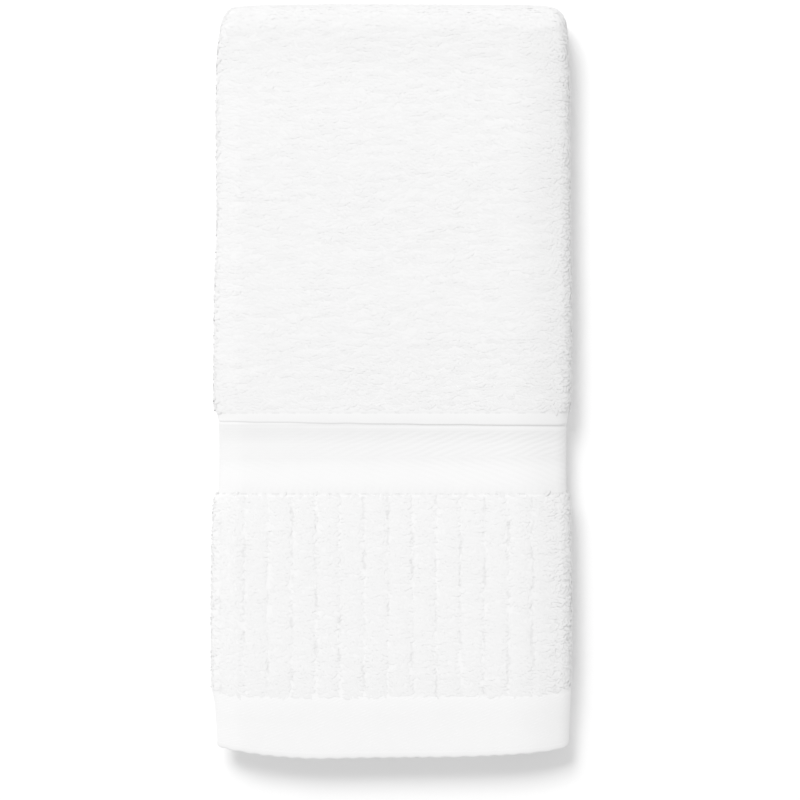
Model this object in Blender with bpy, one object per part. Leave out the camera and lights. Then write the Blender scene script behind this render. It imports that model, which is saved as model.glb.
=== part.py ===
"""A white terry hand towel, folded in three across its width and then in two along its length, lying face up.

Metres, +Z up. The origin is on the surface that the towel lies on, under the middle of the folded towel.
-X is the thin side fold, +X the full side fold, +Y the turned end, and the hems lie at -Y.
The towel is one cloth. A point of it is named by two distances on the flat cut: across, from the
selvedge of the flap that is tucked between the others, and along, from the turned end's middle line,
which is positive towards the hem on top and negative towards the hem underneath.
The cloth's face is the side that shows on the folded towel, and its back is the side folded in.
"""

import math

import bmesh
import bpy
from mathutils import Vector

# The flat cut, with its hems sewn.
CUT_WIDTH = 0.457
CUT_LENGTH = 0.711

# The folded towel, over all.
FOLDED_WIDTH = 0.1685

# The cloth's thickness in each weave, pile included.
PILE_THICK = 0.0040
RIB_THICK = 0.0040
BAND_THICK = 0.0018
STRIP_THICK = 0.0024
HEM_THICK = 0.0028
EDGE_THICK = 0.0017

# The weaves at each end of the cloth, from the hem's edge inwards: name, length, thickness.
BORDER = (
    ("hem", 0.0290, HEM_THICK),
    ("ribs", 0.0928, RIB_THICK),
    ("band", 0.0331, BAND_THICK),
    ("strip", 0.0061, STRIP_THICK),
)
WEAVE_STEP = 0.0014  # over which one weave's thickness turns into the next
EDGE_ROUND = 0.0012  # over which a hem's or selvedge's edge thins

# The ribs run along the cloth, parted by low grooves.
RIB_PITCH = 0.0111
GROOVE_X = -0.0015  # the middle groove's place on the folded towel
GROOVES_EACH_SIDE = 7
# One rib's section: distance from the groove's middle, thickness.
RIB_SECTION = (
    (0.00125, 0.0021),
    (0.00225, 0.0036),
    (RIB_PITCH / 2, RIB_THICK),
)

# The stack: three layers turned over once, so six layers from the floor to the top.
LAYER_PITCH = 0.00435
TURN_PITCH = 0.00475  # at the turned end, which is fuller
THIN_FOLD_REACH = 0.0024  # how far the thin side fold bulges past its flat layers, at mid-thickness
FULL_FOLD_REACH = 0.0044
SQUEEZE = 0.35  # the share of its half-thickness that the cloth loses on the inside of a tight fold
TOP_LAYER = 2
SPAN = TOP_LAYER + 0.5  # half the stack, in layers
CROWN = 0.00022  # extra pitch in the middle of the width
CROWN_POWER = 4
# Where the tucked flap stops short of the full side fold, the layers over it sink.
SINK = 0.00016  # off the pitch at the full side fold
SINK_WIDTH = 0.030
FLAPS_DIFFER = 0.0160  # by which the innermost flap is wider than the tucked one
# Past the innermost flap's selvedge, by the thin side fold, the top layers sag towards those underneath.
SAG = 0.0034
SAG_START = GROOVE_X - (GROOVES_EACH_SIDE - 1) * RIB_PITCH - RIB_SECTION[1][0]
SAG_WIDTH = 0.0140
SAG_FADE = 0.050  # of the towel's length by the turned end, which holds the layers up
# Past the tucked flap's selvedge, each half of the stack rounds down to the full side fold.
ROUND_START = 0.0530
ROUND_DROP = 0.0020  # of each half, at the towel's edge
RIPPLE = 0.00004  # slow waves in the pitch, along and across
RIPPLE_LENGTH = (0.083, 0.131)

# How the stack settles along its length: distance from the turned end, layer pitch, and the
# height of the lowest layer's middle.
SETTLE = (
    (0.000, TURN_PITCH, PILE_THICK / 2),
    (0.012, 0.00468, PILE_THICK / 2),
    (0.034, 0.00446, PILE_THICK / 2),
    (0.090, 0.00448, PILE_THICK / 2),
    (0.190, 0.00440, PILE_THICK / 2),
    (0.205, 0.00402, 0.0015),
    (0.212, 0.00402, 0.0015),
    (0.227, 0.00440, PILE_THICK / 2),
    (0.270, 0.00446, PILE_THICK / 2),
    (0.300, 0.00440, PILE_THICK / 2),
    (0.322, 0.00426, PILE_THICK / 2),
    (0.337, 0.00394, 0.0017),
    (0.352, 0.00366, HEM_THICK / 2),
    (0.372, 0.00330, HEM_THICK / 2),
)

# How far each side stands back from the widest place: distance from the turned end, left, right.
SIDES = (
    (0.000, 0.0092, 0.0058),
    (0.004, 0.0074, 0.0044),
    (0.012, 0.0048, 0.0026),
    (0.026, 0.0030, 0.0014),
    (0.054, 0.0023, 0.0008),
    (0.095, 0.0027, 0.0005),
    (0.140, 0.0015, 0.0000),
    (0.186, 0.0012, 0.0002),
    (0.193, 0.0029, 0.0017),
    (0.224, 0.0030, 0.0019),
    (0.233, 0.0010, 0.0007),
    (0.278, 0.0000, 0.0000),
    (0.318, 0.0002, 0.0003),
    (0.326, 0.0016, 0.0006),
    (0.352, 0.0026, 0.0012),
)

# The hems' edge bows: place across the folded towel, and how far it stands back from the longest place.
HEM_BOW = (
    (-0.0860, 0.0054),
    (-0.0760, 0.0040),
    (-0.0650, 0.0022),
    (-0.0520, 0.0008),
    (-0.0360, 0.0000),
    (-0.0100, 0.0004),
    (0.0300, 0.0008),
    (0.0480, 0.0014),
    (0.0670, 0.0026),
    (0.0860, 0.0044),
)
BOW_LENGTH = 0.060  # of the towel's end, over which the bow fades out

# The turned end is a little uneven: place across the folded towel, and how far it stands back.
TURN_BOW = (
    (-0.0850, 0.0016),
    (-0.0660, 0.0006),
    (-0.0200, 0.0001),
    (0.0300, 0.0003),
    (0.0660, 0.0006),
    (0.0850, 0.0014),
)
TURN_BOW_LENGTH = 0.030

# How far the hem of each layer ends short of the top one: innermost layer first, then the outermost.
TOP_HEMS_SHORT = (0.0040, 0.0000)
UNDER_HEMS_SHORT = (0.0050, 0.0030)

# How finely the cloth is divided.
THIN_FOLD_STEPS = 8
FULL_FOLD_STEPS = 10
TURN_STEPS = 12
FLAP_STEPS = 3
SAG_STEPS = 2
PILE_STEPS = 6
RIB_STEPS = 3
BAND_STEPS = 2

TOWEL_COLOUR = (0.93, 0.93, 0.925, 1.0)
TOWEL_ROUGHNESS = 0.95

# Worked out from the sizes above.
LEFT_X = -FOLDED_WIDTH / 2 + PILE_THICK / 2 + THIN_FOLD_REACH
RIGHT_X = FOLDED_WIDTH / 2 - PILE_THICK / 2 - FULL_FOLD_REACH
PANEL = RIGHT_X - LEFT_X
THIN_ARC = math.pi * LAYER_PITCH / 2
FULL_ARC = math.pi * LAYER_PITCH
FLAP = (CUT_WIDTH - PANEL - THIN_ARC - FULL_ARC - FLAPS_DIFFER) / 2  # the tucked one
PANEL_START = FLAP + THIN_ARC
PANEL_END = PANEL_START + PANEL
TURN_RADIUS = SPAN * TURN_PITCH
QUARTER_TURN = math.pi * TURN_RADIUS / 2
FOLDED_LENGTH = CUT_LENGTH / 2 - (math.pi / 2 - 1) * TURN_RADIUS + PILE_THICK / 2
TOP_Y = FOLDED_LENGTH / 2
TURN_Y = TOP_Y - PILE_THICK / 2 - TURN_RADIUS
HEM_Y = -FOLDED_LENGTH / 2


def read_off(table, at, column):
    """A smooth curve through a table's rows, read at one place. The first column is the place."""
    if at <= table[0][0]:
        return table[0][column]
    if at >= table[-1][0]:
        return table[-1][column]
    i = next(n for n in range(1, len(table)) if table[n][0] >= at)
    before, after = table[i - 1], table[i]
    gap = after[0] - before[0]
    share = (at - before[0]) / gap
    slopes = [slope_at(table, n, column) * gap for n in (i - 1, i)]
    squared, cubed = share * share, share * share * share
    return (
        (2 * cubed - 3 * squared + 1) * before[column]
        + (cubed - 2 * squared + share) * slopes[0]
        + (3 * squared - 2 * cubed) * after[column]
        + (cubed - squared) * slopes[1]
    )


def slope_at(table, n, column):
    """The curve's slope at row n: none at a crest, a hollow or an end, so that it never overshoots."""
    if n in (0, len(table) - 1):
        return 0.0
    steps = [
        (table[k][column] - table[k - 1][column]) / (table[k][0] - table[k - 1][0])
        for k in (n, n + 1)
    ]
    if steps[0] * steps[1] <= 0:
        return 0.0
    return 2 * steps[0] * steps[1] / (steps[0] + steps[1])


def across_section(across):
    """x and the layer, from 0 inside to 2 outside, of a place across the cloth once it is folded in three."""
    if across < FLAP:
        return LEFT_X + FLAP - across, 1
    if across < PANEL_START:
        turn = math.pi * (across - FLAP) / THIN_ARC
        return LEFT_X - THIN_FOLD_REACH * math.sin(turn), 1.5 - math.cos(turn) / 2
    if across < PANEL_END:
        return LEFT_X + across - PANEL_START, TOP_LAYER
    if across < PANEL_END + FULL_ARC:
        turn = math.pi * (across - PANEL_END) / FULL_ARC
        return RIGHT_X + FULL_FOLD_REACH * math.sin(turn), 1 + math.cos(turn)
    return RIGHT_X - (across - PANEL_END - FULL_ARC), 0


def along_section(along, layer):
    """y and the height in layers above the stack's middle, of a place along one layer of the folded stack."""
    if abs(along) <= QUARTER_TURN:
        turn = along / TURN_RADIUS
        return TURN_Y + (layer + 0.5) * TURN_PITCH * math.cos(turn), (layer + 0.5) * math.sin(turn)
    inside, outside = TOP_HEMS_SHORT if along > 0 else UNDER_HEMS_SHORT
    short = inside + (outside - inside) * layer / TOP_LAYER
    share = (abs(along) - QUARTER_TURN) / (CUT_LENGTH / 2 - QUARTER_TURN)
    y = TURN_Y - share * (TURN_Y - HEM_Y - short)
    return y, math.copysign(layer + 0.5, along)


def bowed(x, y):
    """y once the hems' edge and the turned end have their bows."""
    near_hem = max(0.0, 1 - (y - HEM_Y) / BOW_LENGTH)
    near_turn = max(0.0, 1 - (TOP_Y - y) / TURN_BOW_LENGTH)
    return y + read_off(HEM_BOW, x, 1) * near_hem**2 - read_off(TURN_BOW, x, 1) * near_turn**2


def drawn_in(x, y):
    """x once the sides stand back as far as they do at that place along the towel."""
    from_turn = TOP_Y - y
    side = read_off(SIDES, from_turn, 1 if x < 0 else 2)
    share = min(1.0, x / (LEFT_X if x < 0 else RIGHT_X))
    return x - math.copysign(side * share * share, x)


def layer_pitch(x, y):
    """How far apart the layers lie at a place on the folded towel."""
    share = min(1.0, abs(x) / (FOLDED_WIDTH / 2))
    crown = CROWN * (1 - share**CROWN_POWER)
    near_full_fold = min(1.0, max(0.0, 1 - (FOLDED_WIDTH / 2 - x) / SINK_WIDTH))
    waves = math.sin(2 * math.pi * y / RIPPLE_LENGTH[0]) + math.sin(
        2 * math.pi * (x + y / 2) / RIPPLE_LENGTH[1]
    )
    return read_off(SETTLE, TOP_Y - y, 1) + crown - SINK * near_full_fold**2 + RIPPLE * waves


def smooth_share(distance, length):
    """The share of a length that is behind, from 0 to 1, level at both ends."""
    share = min(1.0, max(0.0, distance / length))
    return share * share * (3 - 2 * share)


def sagged(x, y, height, pitch):
    """x and the drop of a place at a height in layers, once the top layers sag by the thin side fold."""
    if height < 0:
        return x, 0.0
    sag = SAG * smooth_share(TURN_Y - y, SAG_FADE)
    share = min(1.0, max(0.0, (SAG_START - x) / SAG_WIDTH))
    tilt = math.atan(6 * sag / SAG_WIDTH * share * (1 - share))
    above = (height - TOP_LAYER) * pitch  # the middle of the two sagging layers
    drop = sag * smooth_share(SAG_START - x, SAG_WIDTH)
    return x - above * math.sin(tilt), drop + above * (1 - math.cos(tilt))


def rounded(x, y, layer, height):
    """The drop of a place by the full side fold, where each half of the stack lacks its middle layer."""
    near_edge = max(0.0, (x - ROUND_START) / (FOLDED_WIDTH / 2 - ROUND_START))
    outer = layer / TOP_LAYER
    halves = 1 + outer if height > 0 else 1 - outer
    return ROUND_DROP * halves * near_edge**2 * smooth_share(TURN_Y - y, SAG_FADE)


def place_of(across, along):
    """Where a point of the flat cloth lies in the folded towel, at mid-thickness."""
    x, layer = across_section(across)
    y, height = along_section(along, layer)
    y = bowed(x, y)
    pitch = layer_pitch(x, y)
    z = read_off(SETTLE, TOP_Y - y, 2) + (SPAN + height) * pitch - rounded(x, y, layer, height)
    x, drop = sagged(x, y, height, pitch)
    return drawn_in(x, y), y, z - drop


def groove_places():
    """The ribs' grooves on the outer panel, as distances across the cloth."""
    middle = PANEL_START + GROOVE_X - LEFT_X
    numbers = range(-GROOVES_EACH_SIDE, GROOVES_EACH_SIDE + 1)
    return [middle + n * RIB_PITCH for n in numbers]


def rib_thickness(across):
    """The ribbed weave's thickness. The tucked flaps, which don't show, stay plain."""
    if not FLAP < across < PANEL_END + FULL_ARC:
        return RIB_THICK
    from_groove = (across - groove_places()[0]) % RIB_PITCH
    return read_off(RIB_SECTION, min(from_groove, RIB_PITCH - from_groove), 1)


def weave_thickness(across, along):
    """The thickness of the weave at a place on the flat cut."""
    from_hem = CUT_LENGTH / 2 - abs(along)
    from_selvedge = min(across, CUT_WIDTH - across)
    if min(from_hem, from_selvedge) < EDGE_ROUND / 2:
        return EDGE_THICK
    start = 0.0
    for name, length, thick in BORDER:
        if from_hem < start + length:
            return rib_thickness(across) if name == "ribs" else thick
        start += length
    return PILE_THICK


def squeezed(across, along):
    """The shares of its half-thickness that the cloth keeps on its face and its back in the tight folds."""
    face = back = 1.0
    side_turn = (across - FLAP) / THIN_ARC
    if 0 < side_turn < 1:
        back -= SQUEEZE * math.sin(math.pi * side_turn)
    _, layer = across_section(across)
    if across > PANEL_END and layer < 1 and abs(along) < QUARTER_TURN:
        face -= SQUEEZE * (1 - layer) * math.cos(along / TURN_RADIUS)
    return face, back


def both_sides(across, along):
    """The point of the cloth's face and that of its back, at one place of the flat cut."""
    middle, nudge = Vector(place_of(across, along)), 1e-5
    on = Vector(place_of(across, along + nudge)) - Vector(place_of(across, along - nudge))
    over = Vector(place_of(across + nudge, along)) - Vector(place_of(across - nudge, along))
    outwards = on.cross(over).normalized() * weave_thickness(across, along) / 2
    face, back = squeezed(across, along)
    return middle + outwards * face, middle - outwards * back


def spread(start, end, steps):
    """Places from start to end in equal steps, without the end."""
    return [start + (end - start) * n / steps for n in range(steps)]


def columns():
    """Places across the cloth: those that run its whole length, and those that only the ribs need."""
    grooves = groove_places()
    whole = [0.0]
    whole += spread(EDGE_ROUND, FLAP + LEFT_X - SAG_START, FLAP_STEPS)
    whole += spread(FLAP + LEFT_X - SAG_START, FLAP, SAG_STEPS)
    whole += spread(FLAP, PANEL_START, THIN_FOLD_STEPS)
    whole += [PANEL_START, PANEL_START + SAG_START - LEFT_X]
    whole += [groove + RIB_PITCH / 2 for groove in grooves[:-1]]
    whole += spread(PANEL_END, PANEL_END + FULL_ARC, FULL_FOLD_STEPS)
    whole += [PANEL_END + FULL_ARC]
    whole += spread(PANEL_END + FULL_ARC + RIGHT_X - ROUND_START, CUT_WIDTH - EDGE_ROUND, FLAP_STEPS)
    whole += [CUT_WIDTH - EDGE_ROUND, CUT_WIDTH]
    foot, brow = RIB_SECTION[0][0], RIB_SECTION[1][0]
    ribbed = [groove + side for groove in grooves for side in (-brow, -foot, foot, brow)]
    whole += [place for place in ribbed if not PANEL_START < place < PANEL_END]
    return sorted(whole), sorted(set(whole + ribbed))


def border_rows():
    """Distances from the hem's edge of the rows in the border weaves, each with whether it is ribbed."""
    steps = {"hem": 1, "ribs": RIB_STEPS, "band": BAND_STEPS, "strip": 1}
    border = [(0.0, False), (EDGE_ROUND, False)]
    start = 0.0
    for name, length, _ in BORDER:
        first = start + (WEAVE_STEP / 2 if start else length / 2)
        last = start + length - WEAVE_STEP / 2
        places = spread(first, last, steps[name]) + [last]
        border += [(place, name == "ribs") for place in places]
        start += length
    return border + [(start + WEAVE_STEP / 2, False)]


def rows():
    """Places along the cloth, from the hem underneath to the one on top, each with whether it is ribbed."""
    border = border_rows()
    pile_end = border[-1][0]
    straight = CUT_LENGTH / 2 - QUARTER_TURN
    plain = spread(pile_end, straight, PILE_STEPS)[1:]
    half = [(place - CUT_LENGTH / 2, ribbed) for place, ribbed in border]
    half += [(place - CUT_LENGTH / 2, False) for place in plain]
    turn = [(place, False) for place in spread(-QUARTER_TURN, QUARTER_TURN, TURN_STEPS)]
    other_half = [(-place, ribbed) for place, ribbed in reversed(half)]
    return half + turn + [(QUARTER_TURN, False)] + other_half


def join_rows(cloth, lower, upper):
    """Faces between two rows of points. Where one has more, they belong to the other row's cells."""
    coarse, fine = sorted((lower, upper), key=len)
    places = sorted(coarse)
    for left, right in zip(places, places[1:]):
        between = [place for place in sorted(fine) if left <= place <= right]
        cloth.faces.new([coarse[right], coarse[left]] + [fine[place] for place in between])


def join_edges(cloth, face_row, back_row):
    """Faces over the cloth's edge between its two sides, along one row of points."""
    for i in range(1, len(face_row)):
        cloth.faces.new([face_row[i - 1], face_row[i], back_row[i], back_row[i - 1]])


def centre(cloth):
    """Puts the middle of the folded towel over the origin."""
    middle = Vector((0, 0, 0))
    for axis in (0, 1):
        places = [point.co[axis] for point in cloth.verts]
        middle[axis] = (min(places) + max(places)) / 2
    bmesh.ops.translate(cloth, verts=cloth.verts, vec=-middle)


def make_cloth(name):
    """The folded cloth's closed surface: its face, its back, its two hems' edges and its two selvedges."""
    whole, ribbed = columns()
    cloth = bmesh.new()
    face_rows, back_rows = [], []
    for along, is_ribbed in rows():
        face_row, back_row = {}, {}
        for across in ribbed if is_ribbed else whole:
            face, back = both_sides(across, along)
            face_row[across] = cloth.verts.new(face)
            back_row[across] = cloth.verts.new(back)
        face_rows.append(face_row)
        back_rows.append(back_row)
    for side in (face_rows, back_rows):
        for lower, upper in zip(side, side[1:]):
            join_rows(cloth, lower, upper)
    for end in (0, -1):
        join_edges(cloth, list(face_rows[end].values()), list(back_rows[end].values()))
    for across in (whole[0], whole[-1]):
        join_edges(cloth, [row[across] for row in face_rows], [row[across] for row in back_rows])
    bmesh.ops.recalc_face_normals(cloth, faces=cloth.faces)
    centre(cloth)
    mesh = bpy.data.meshes.new(name)
    cloth.to_mesh(mesh)
    cloth.free()
    return mesh


def towel_material():
    """White cotton."""
    material = bpy.data.materials.new("cotton_terry")
    material.use_nodes = True
    shader = material.node_tree.nodes["Principled BSDF"]
    shader.inputs["Base Color"].default_value = TOWEL_COLOUR
    shader.inputs["Roughness"].default_value = TOWEL_ROUGHNESS
    shader.inputs["Metallic"].default_value = 0.0
    material.diffuse_color = TOWEL_COLOUR
    return material


def make_towel():
    """The towel as one solid."""
    mesh = make_cloth("towel")
    mesh.materials.append(towel_material())
    mesh.shade_smooth()
    towel = bpy.data.objects.new("towel", mesh)
    bpy.context.scene.collection.objects.link(towel)
    return towel


def clear_scene():
    for found in list(bpy.data.objects):
        bpy.data.objects.remove(found)


clear_scene()
make_towel()
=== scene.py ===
import math

import bpy
import numpy as np
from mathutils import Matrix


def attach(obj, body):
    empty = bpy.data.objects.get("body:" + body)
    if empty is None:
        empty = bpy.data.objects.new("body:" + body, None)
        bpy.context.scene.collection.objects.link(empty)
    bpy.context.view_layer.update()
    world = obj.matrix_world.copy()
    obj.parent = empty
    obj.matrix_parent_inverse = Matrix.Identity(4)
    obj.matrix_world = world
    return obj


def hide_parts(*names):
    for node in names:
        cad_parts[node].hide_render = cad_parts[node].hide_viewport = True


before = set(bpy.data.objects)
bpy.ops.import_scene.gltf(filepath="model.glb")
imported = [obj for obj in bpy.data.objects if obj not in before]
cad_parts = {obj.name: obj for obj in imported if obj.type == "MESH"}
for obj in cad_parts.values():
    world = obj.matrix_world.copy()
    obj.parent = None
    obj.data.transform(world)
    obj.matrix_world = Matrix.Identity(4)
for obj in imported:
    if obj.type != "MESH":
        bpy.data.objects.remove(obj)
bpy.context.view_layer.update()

# A white terry hand towel, folded in three across its width and then in two along its length, face up.
# Metres, +Z up. -X is the thin side fold, +X the full side fold, +Y the turned end, and the hems lie at -Y.
# A point of the cloth is named by two distances on the flat cut: across, from the selvedge of the tucked
# flap, and along, from the turned end's middle line, positive towards the hem on top.

CUT_WIDTH = 0.457
CUT_LENGTH = 0.711
FOLDED_WIDTH = 0.1685
PILE_THICK = 0.0040
HEM_THICK = 0.0028

LAYER_PITCH = 0.00435
TURN_PITCH = 0.00475
THIN_FOLD_REACH = 0.0024
FULL_FOLD_REACH = 0.0044
TOP_LAYER = 2
SPAN = TOP_LAYER + 0.5
CROWN = 0.00022
CROWN_POWER = 4
SINK = 0.00016
SINK_WIDTH = 0.030
FLAPS_DIFFER = 0.0160
SAG = 0.0034
SAG_START = -0.07035
SAG_WIDTH = 0.0140
SAG_FADE = 0.050
ROUND_START = 0.0530
ROUND_DROP = 0.0020
RIPPLE = 0.00004
RIPPLE_LENGTH = (0.083, 0.131)

# How the stack settles along its length: distance from the turned end, layer pitch, and the
# height of the lowest layer's middle.
SETTLE = (
    (0.000, TURN_PITCH, PILE_THICK / 2),
    (0.012, 0.00468, PILE_THICK / 2),
    (0.034, 0.00446, PILE_THICK / 2),
    (0.090, 0.00448, PILE_THICK / 2),
    (0.190, 0.00440, PILE_THICK / 2),
    (0.205, 0.00402, 0.0015),
    (0.212, 0.00402, 0.0015),
    (0.227, 0.00440, PILE_THICK / 2),
    (0.270, 0.00446, PILE_THICK / 2),
    (0.300, 0.00440, PILE_THICK / 2),
    (0.322, 0.00426, PILE_THICK / 2),
    (0.337, 0.00394, 0.0017),
    (0.352, 0.00366, HEM_THICK / 2),
    (0.372, 0.00330, HEM_THICK / 2),
)

# How far each side stands back from the widest place: distance from the turned end, left, right.
SIDES = (
    (0.000, 0.0092, 0.0058),
    (0.004, 0.0074, 0.0044),
    (0.012, 0.0048, 0.0026),
    (0.026, 0.0030, 0.0014),
    (0.054, 0.0023, 0.0008),
    (0.095, 0.0027, 0.0005),
    (0.140, 0.0015, 0.0000),
    (0.186, 0.0012, 0.0002),
    (0.193, 0.0029, 0.0017),
    (0.224, 0.0030, 0.0019),
    (0.233, 0.0010, 0.0007),
    (0.278, 0.0000, 0.0000),
    (0.318, 0.0002, 0.0003),
    (0.326, 0.0016, 0.0006),
    (0.352, 0.0026, 0.0012),
)

# The hems' edge bows: place across the folded towel, and how far it stands back from the longest place.
HEM_BOW = (
    (-0.0860, 0.0054),
    (-0.0760, 0.0040),
    (-0.0650, 0.0022),
    (-0.0520, 0.0008),
    (-0.0360, 0.0000),
    (-0.0100, 0.0004),
    (0.0300, 0.0008),
    (0.0480, 0.0014),
    (0.0670, 0.0026),
    (0.0860, 0.0044),
)
BOW_LENGTH = 0.060

# The turned end is a little uneven: place across the folded towel, and how far it stands back.
TURN_BOW = (
    (-0.0850, 0.0016),
    (-0.0660, 0.0006),
    (-0.0200, 0.0001),
    (0.0300, 0.0003),
    (0.0660, 0.0006),
    (0.0850, 0.0014),
)
TURN_BOW_LENGTH = 0.030
TOP_HEMS_SHORT = (0.0040, 0.0000)
UNDER_HEMS_SHORT = (0.0050, 0.0030)

# The weaves from the hem's edge inwards: where each starts, and half the ground cloth's thickness there,
# on the top face, where the pile is packed close, and elsewhere.
HEM_END = 0.0290
RIBS_END = 0.1218
BAND_END = 0.1549
STRIP_END = 0.1610
GROUND = (
    (0.0000, 0.00140, 0.00140),
    (HEM_END, 0.00184, 0.00105),
    (RIBS_END, 0.00090, 0.00090),
    (BAND_END, 0.00118, 0.00118),
    (STRIP_END, 0.00176, 0.00112),
)
WEAVE_STEP = 0.0014
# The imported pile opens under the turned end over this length, and by the full side fold from a start
# before it, over a length, by a share.
UNDER_FADE = 0.012
SIDE_OPENS = 0.0100
SIDE_FADE = 0.0060
SIDE_SHARE = 0.65
# The cloth thins to a share of its thickness at its selvedges.
SELVEDGE_WIDTH = 0.0020
SELVEDGE_SHARE = 0.60

# The hem's rolled edge: distance from the edge, half thickness.
HEM_EDGE = (
    (0.0000, 0.00080),
    (0.0003, 0.00120),
    (0.0008, 0.00138),
    (0.0016, 0.00143),
    (0.0024, 0.00136),
    (0.0030, 0.00132),
    (0.0038, 0.00138),
    (0.0060, 0.00140),
)
# The hem's edge is drawn in a little by its stitches.
SCALLOP = 0.00022
SCALLOP_PITCH = 0.0071
SCALLOP_FADE = 0.0035
SCALLOP_WANDER = 2
SCALLOP_WANDER_SIZE = 0.02

# The ribs run along the cloth, parted by low grooves.
RIB_PITCH = 0.0111
GROOVE_X = -0.0015
GROOVES_LEFT = 20  # more than lie between this one and the thin side fold
# One rib's section: distance from the groove's middle, height of the loops' tips over the cloth's middle.
RIB_TIPS = (
    (0.0000, 0.00178),
    (0.0009, 0.00183),
    (0.0022, 0.00195),
    (0.0038, 0.00202),
    (RIB_PITCH / 2, 0.00204),
)
# The grooves fade over these lengths at the ribs' ends and at the thin side fold.
RIB_FADE = 0.0020
RIB_SIDE_FADE = 0.0030
# The plain pile's tips over the cloth's middle.
PILE_TIPS = 0.00200
# The loops stand in clumps that are wider than they are long.
CLUMP_HEIGHT = 0.00013
CLUMP_SIZE = (0.0085, 0.0024)
RIB_CLUMPS = 0.4  # of that height in the ribs
# Here and there between the clumps a few loops lie open and show the ground: length and width of a gap,
# and how rare the gaps are, from 0 to 1.
GAP_SIZE = (0.0036, 0.0010)
GAP_RARITY = 0.60
RIB_GAP_RARITY = 0.82
# In the ribs no loop is rooted nearer to a groove's middle than this, more or less, dash by dash. The
# grooves wander, and a share of their depth comes and goes.
GROOVE_WANDER = 0.0005
GROOVE_WANDER_SIZE = (0.006, 0.0045)
GROOVE_HALF = 0.0007
GROOVE_UNEVEN = 0.0009
GROOVE_DASH = 0.0055
GROOVE_DEPTH = 0.80
GROOVE_DEPTH_VARIES = 0.10
GROOVE_DEPTH_SIZE = (0.009, 0.0060)
UNDERSIDE_GROOVE_HALF = 0.0012
# The loops stand in all directions from a little before the full side fold.
FULL_FOLD_EDGE = 0.0065
# Cotton lets light through, so the loops' faces are this much nearer to the cloth's own in their shading.
SOFTNESS = 0.90
# The ribs' loops are turned more, and shaded more softly.
RIB_TURN = 0.7
RIB_SOFTNESS = 0.93

# One loop is the upper half of a ring of yarn, pressed to this share of its height.
LOOP_RADIUS = 0.00135
YARN_RADIUS = 0.00074
LOOP_HEIGHT = 0.42
# How the copies differ: turn and lean in radians, length and width as shares, height in metres.
TURN_SPREAD = 0.40
SLOW_TURN = 0.45
SLOW_TURN_SIZE = (0.009, 0.006)
LEAN = 0.25
LENGTHS = (0.80, 1.25)
WIDTHS = (0.85, 1.15)
TIP_SCATTER = 0.00004
# No loop comes nearer to the floor than this.
FLOOR_GAP = 0.00015
# How far from its row's even place a loop stands, in shares of the rows' gaps.
SCATTER_ACROSS = 0.25
SCATTER_ALONG = 0.32
# How far the loops keep from the weaves' ends: from the band and the strip, from the hem on the face, and
# from the hem on the folds and the underside.
PILE_MARGIN = 0.0006
HEM_MARGIN = 0.0004
OUTER_HEM_MARGIN = 0.001
# The loops' gaps, across and along.
PLUSH_GAPS = (0.00165, 0.00145)
RIB_GAPS = (0.0016, 0.0015)
TURN_GAPS = (0.0018, 0.0016)
TURN_UNDER_GAPS = (0.0026, 0.0022)
FOLD_GAPS = (0.0018, 0.0017)
FOLD_UNDER_GAPS = (0.0022, 0.0021)
UNDERSIDE_GAPS = (0.0031, 0.0027)
UNDERSIDE_RIB_GAPS = (0.0030, 0.0027)

# The herringbone band. It is fainter towards the thin side fold.
CHEVRON_START = 0.1261
CHEVRON_END = 0.1522
BAND_MIDDLE = 0.1401
CHEVRON_PITCH = 0.0027
CHEVRON_SLOPE = 0.38
CHEVRON_HEIGHT = 0.000043
CHEVRON_FAINTEST = 0.15
CHEVRON_STRENGTH = 0.7
CHEVRON_GAIN = 8
CHEVRON_UNEVEN = 0.35
CHEVRON_UNEVEN_SIZE = (0.016, 0.008)
CHEVRON_WANDER = 0.25
CHEVRON_WANDER_SIZE = (0.012, 0.006)
CHEVRON_FADE = 0.0010
# A row of short threads between the ribs and the herringbone.
THREADS_HEIGHT = 0.00007
THREADS_PITCH = 0.0034
THREADS_FADE = 0.0008
# The sunk line between the band and the flat strip, steep on the strip's side, and not quite straight.
CORD_LINE_PAST_BAND = 0.0002
CORD_LINE_WOBBLE = 0.00015
CORD_LINE_WOBBLE_SIZE = 0.009
CORD_LINE_DEPTH = 0.00040
CORD_LINE_STEEP = 0.00034
CORD_LINE_GENTLE = 0.00130
CORD_LINE_TILT = 0.0131

# The ground cloth's mesh steps: across it and along it, fine where the woven border shows on top.
FLAP_STEP = 0.020
FLAP_END_STEP = 0.0040
THIN_FOLD_STEP = 0.00070
FULL_FOLD_STEP = 0.00115
FINE_PANEL_STEP = 0.0009
PANEL_STEP = 0.0036
FINE_BAND_STEP = 0.00036
LINE_STEP = 0.00024
PILE_STEP = 0.0036
UNDER_BAND_STEP = 0.0030
UNDER_PILE_STEP = 0.0060
HEM_STEP = 0.0030
TURN_ROWS = 25
SELVEDGE_STEPS = (0.0008, 0.0040)
HEM_EDGE_ROWS = (0.0, 0.0003, 0.0007, 0.0012, 0.0018, 0.0024, 0.0030, 0.0037, 0.0046)
HEM_FLAT_START = 0.0060
# The fine rows around the sunk line, before and after the band's end.
LINE_BEFORE = 0.0026
LINE_AFTER = 0.0030

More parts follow.
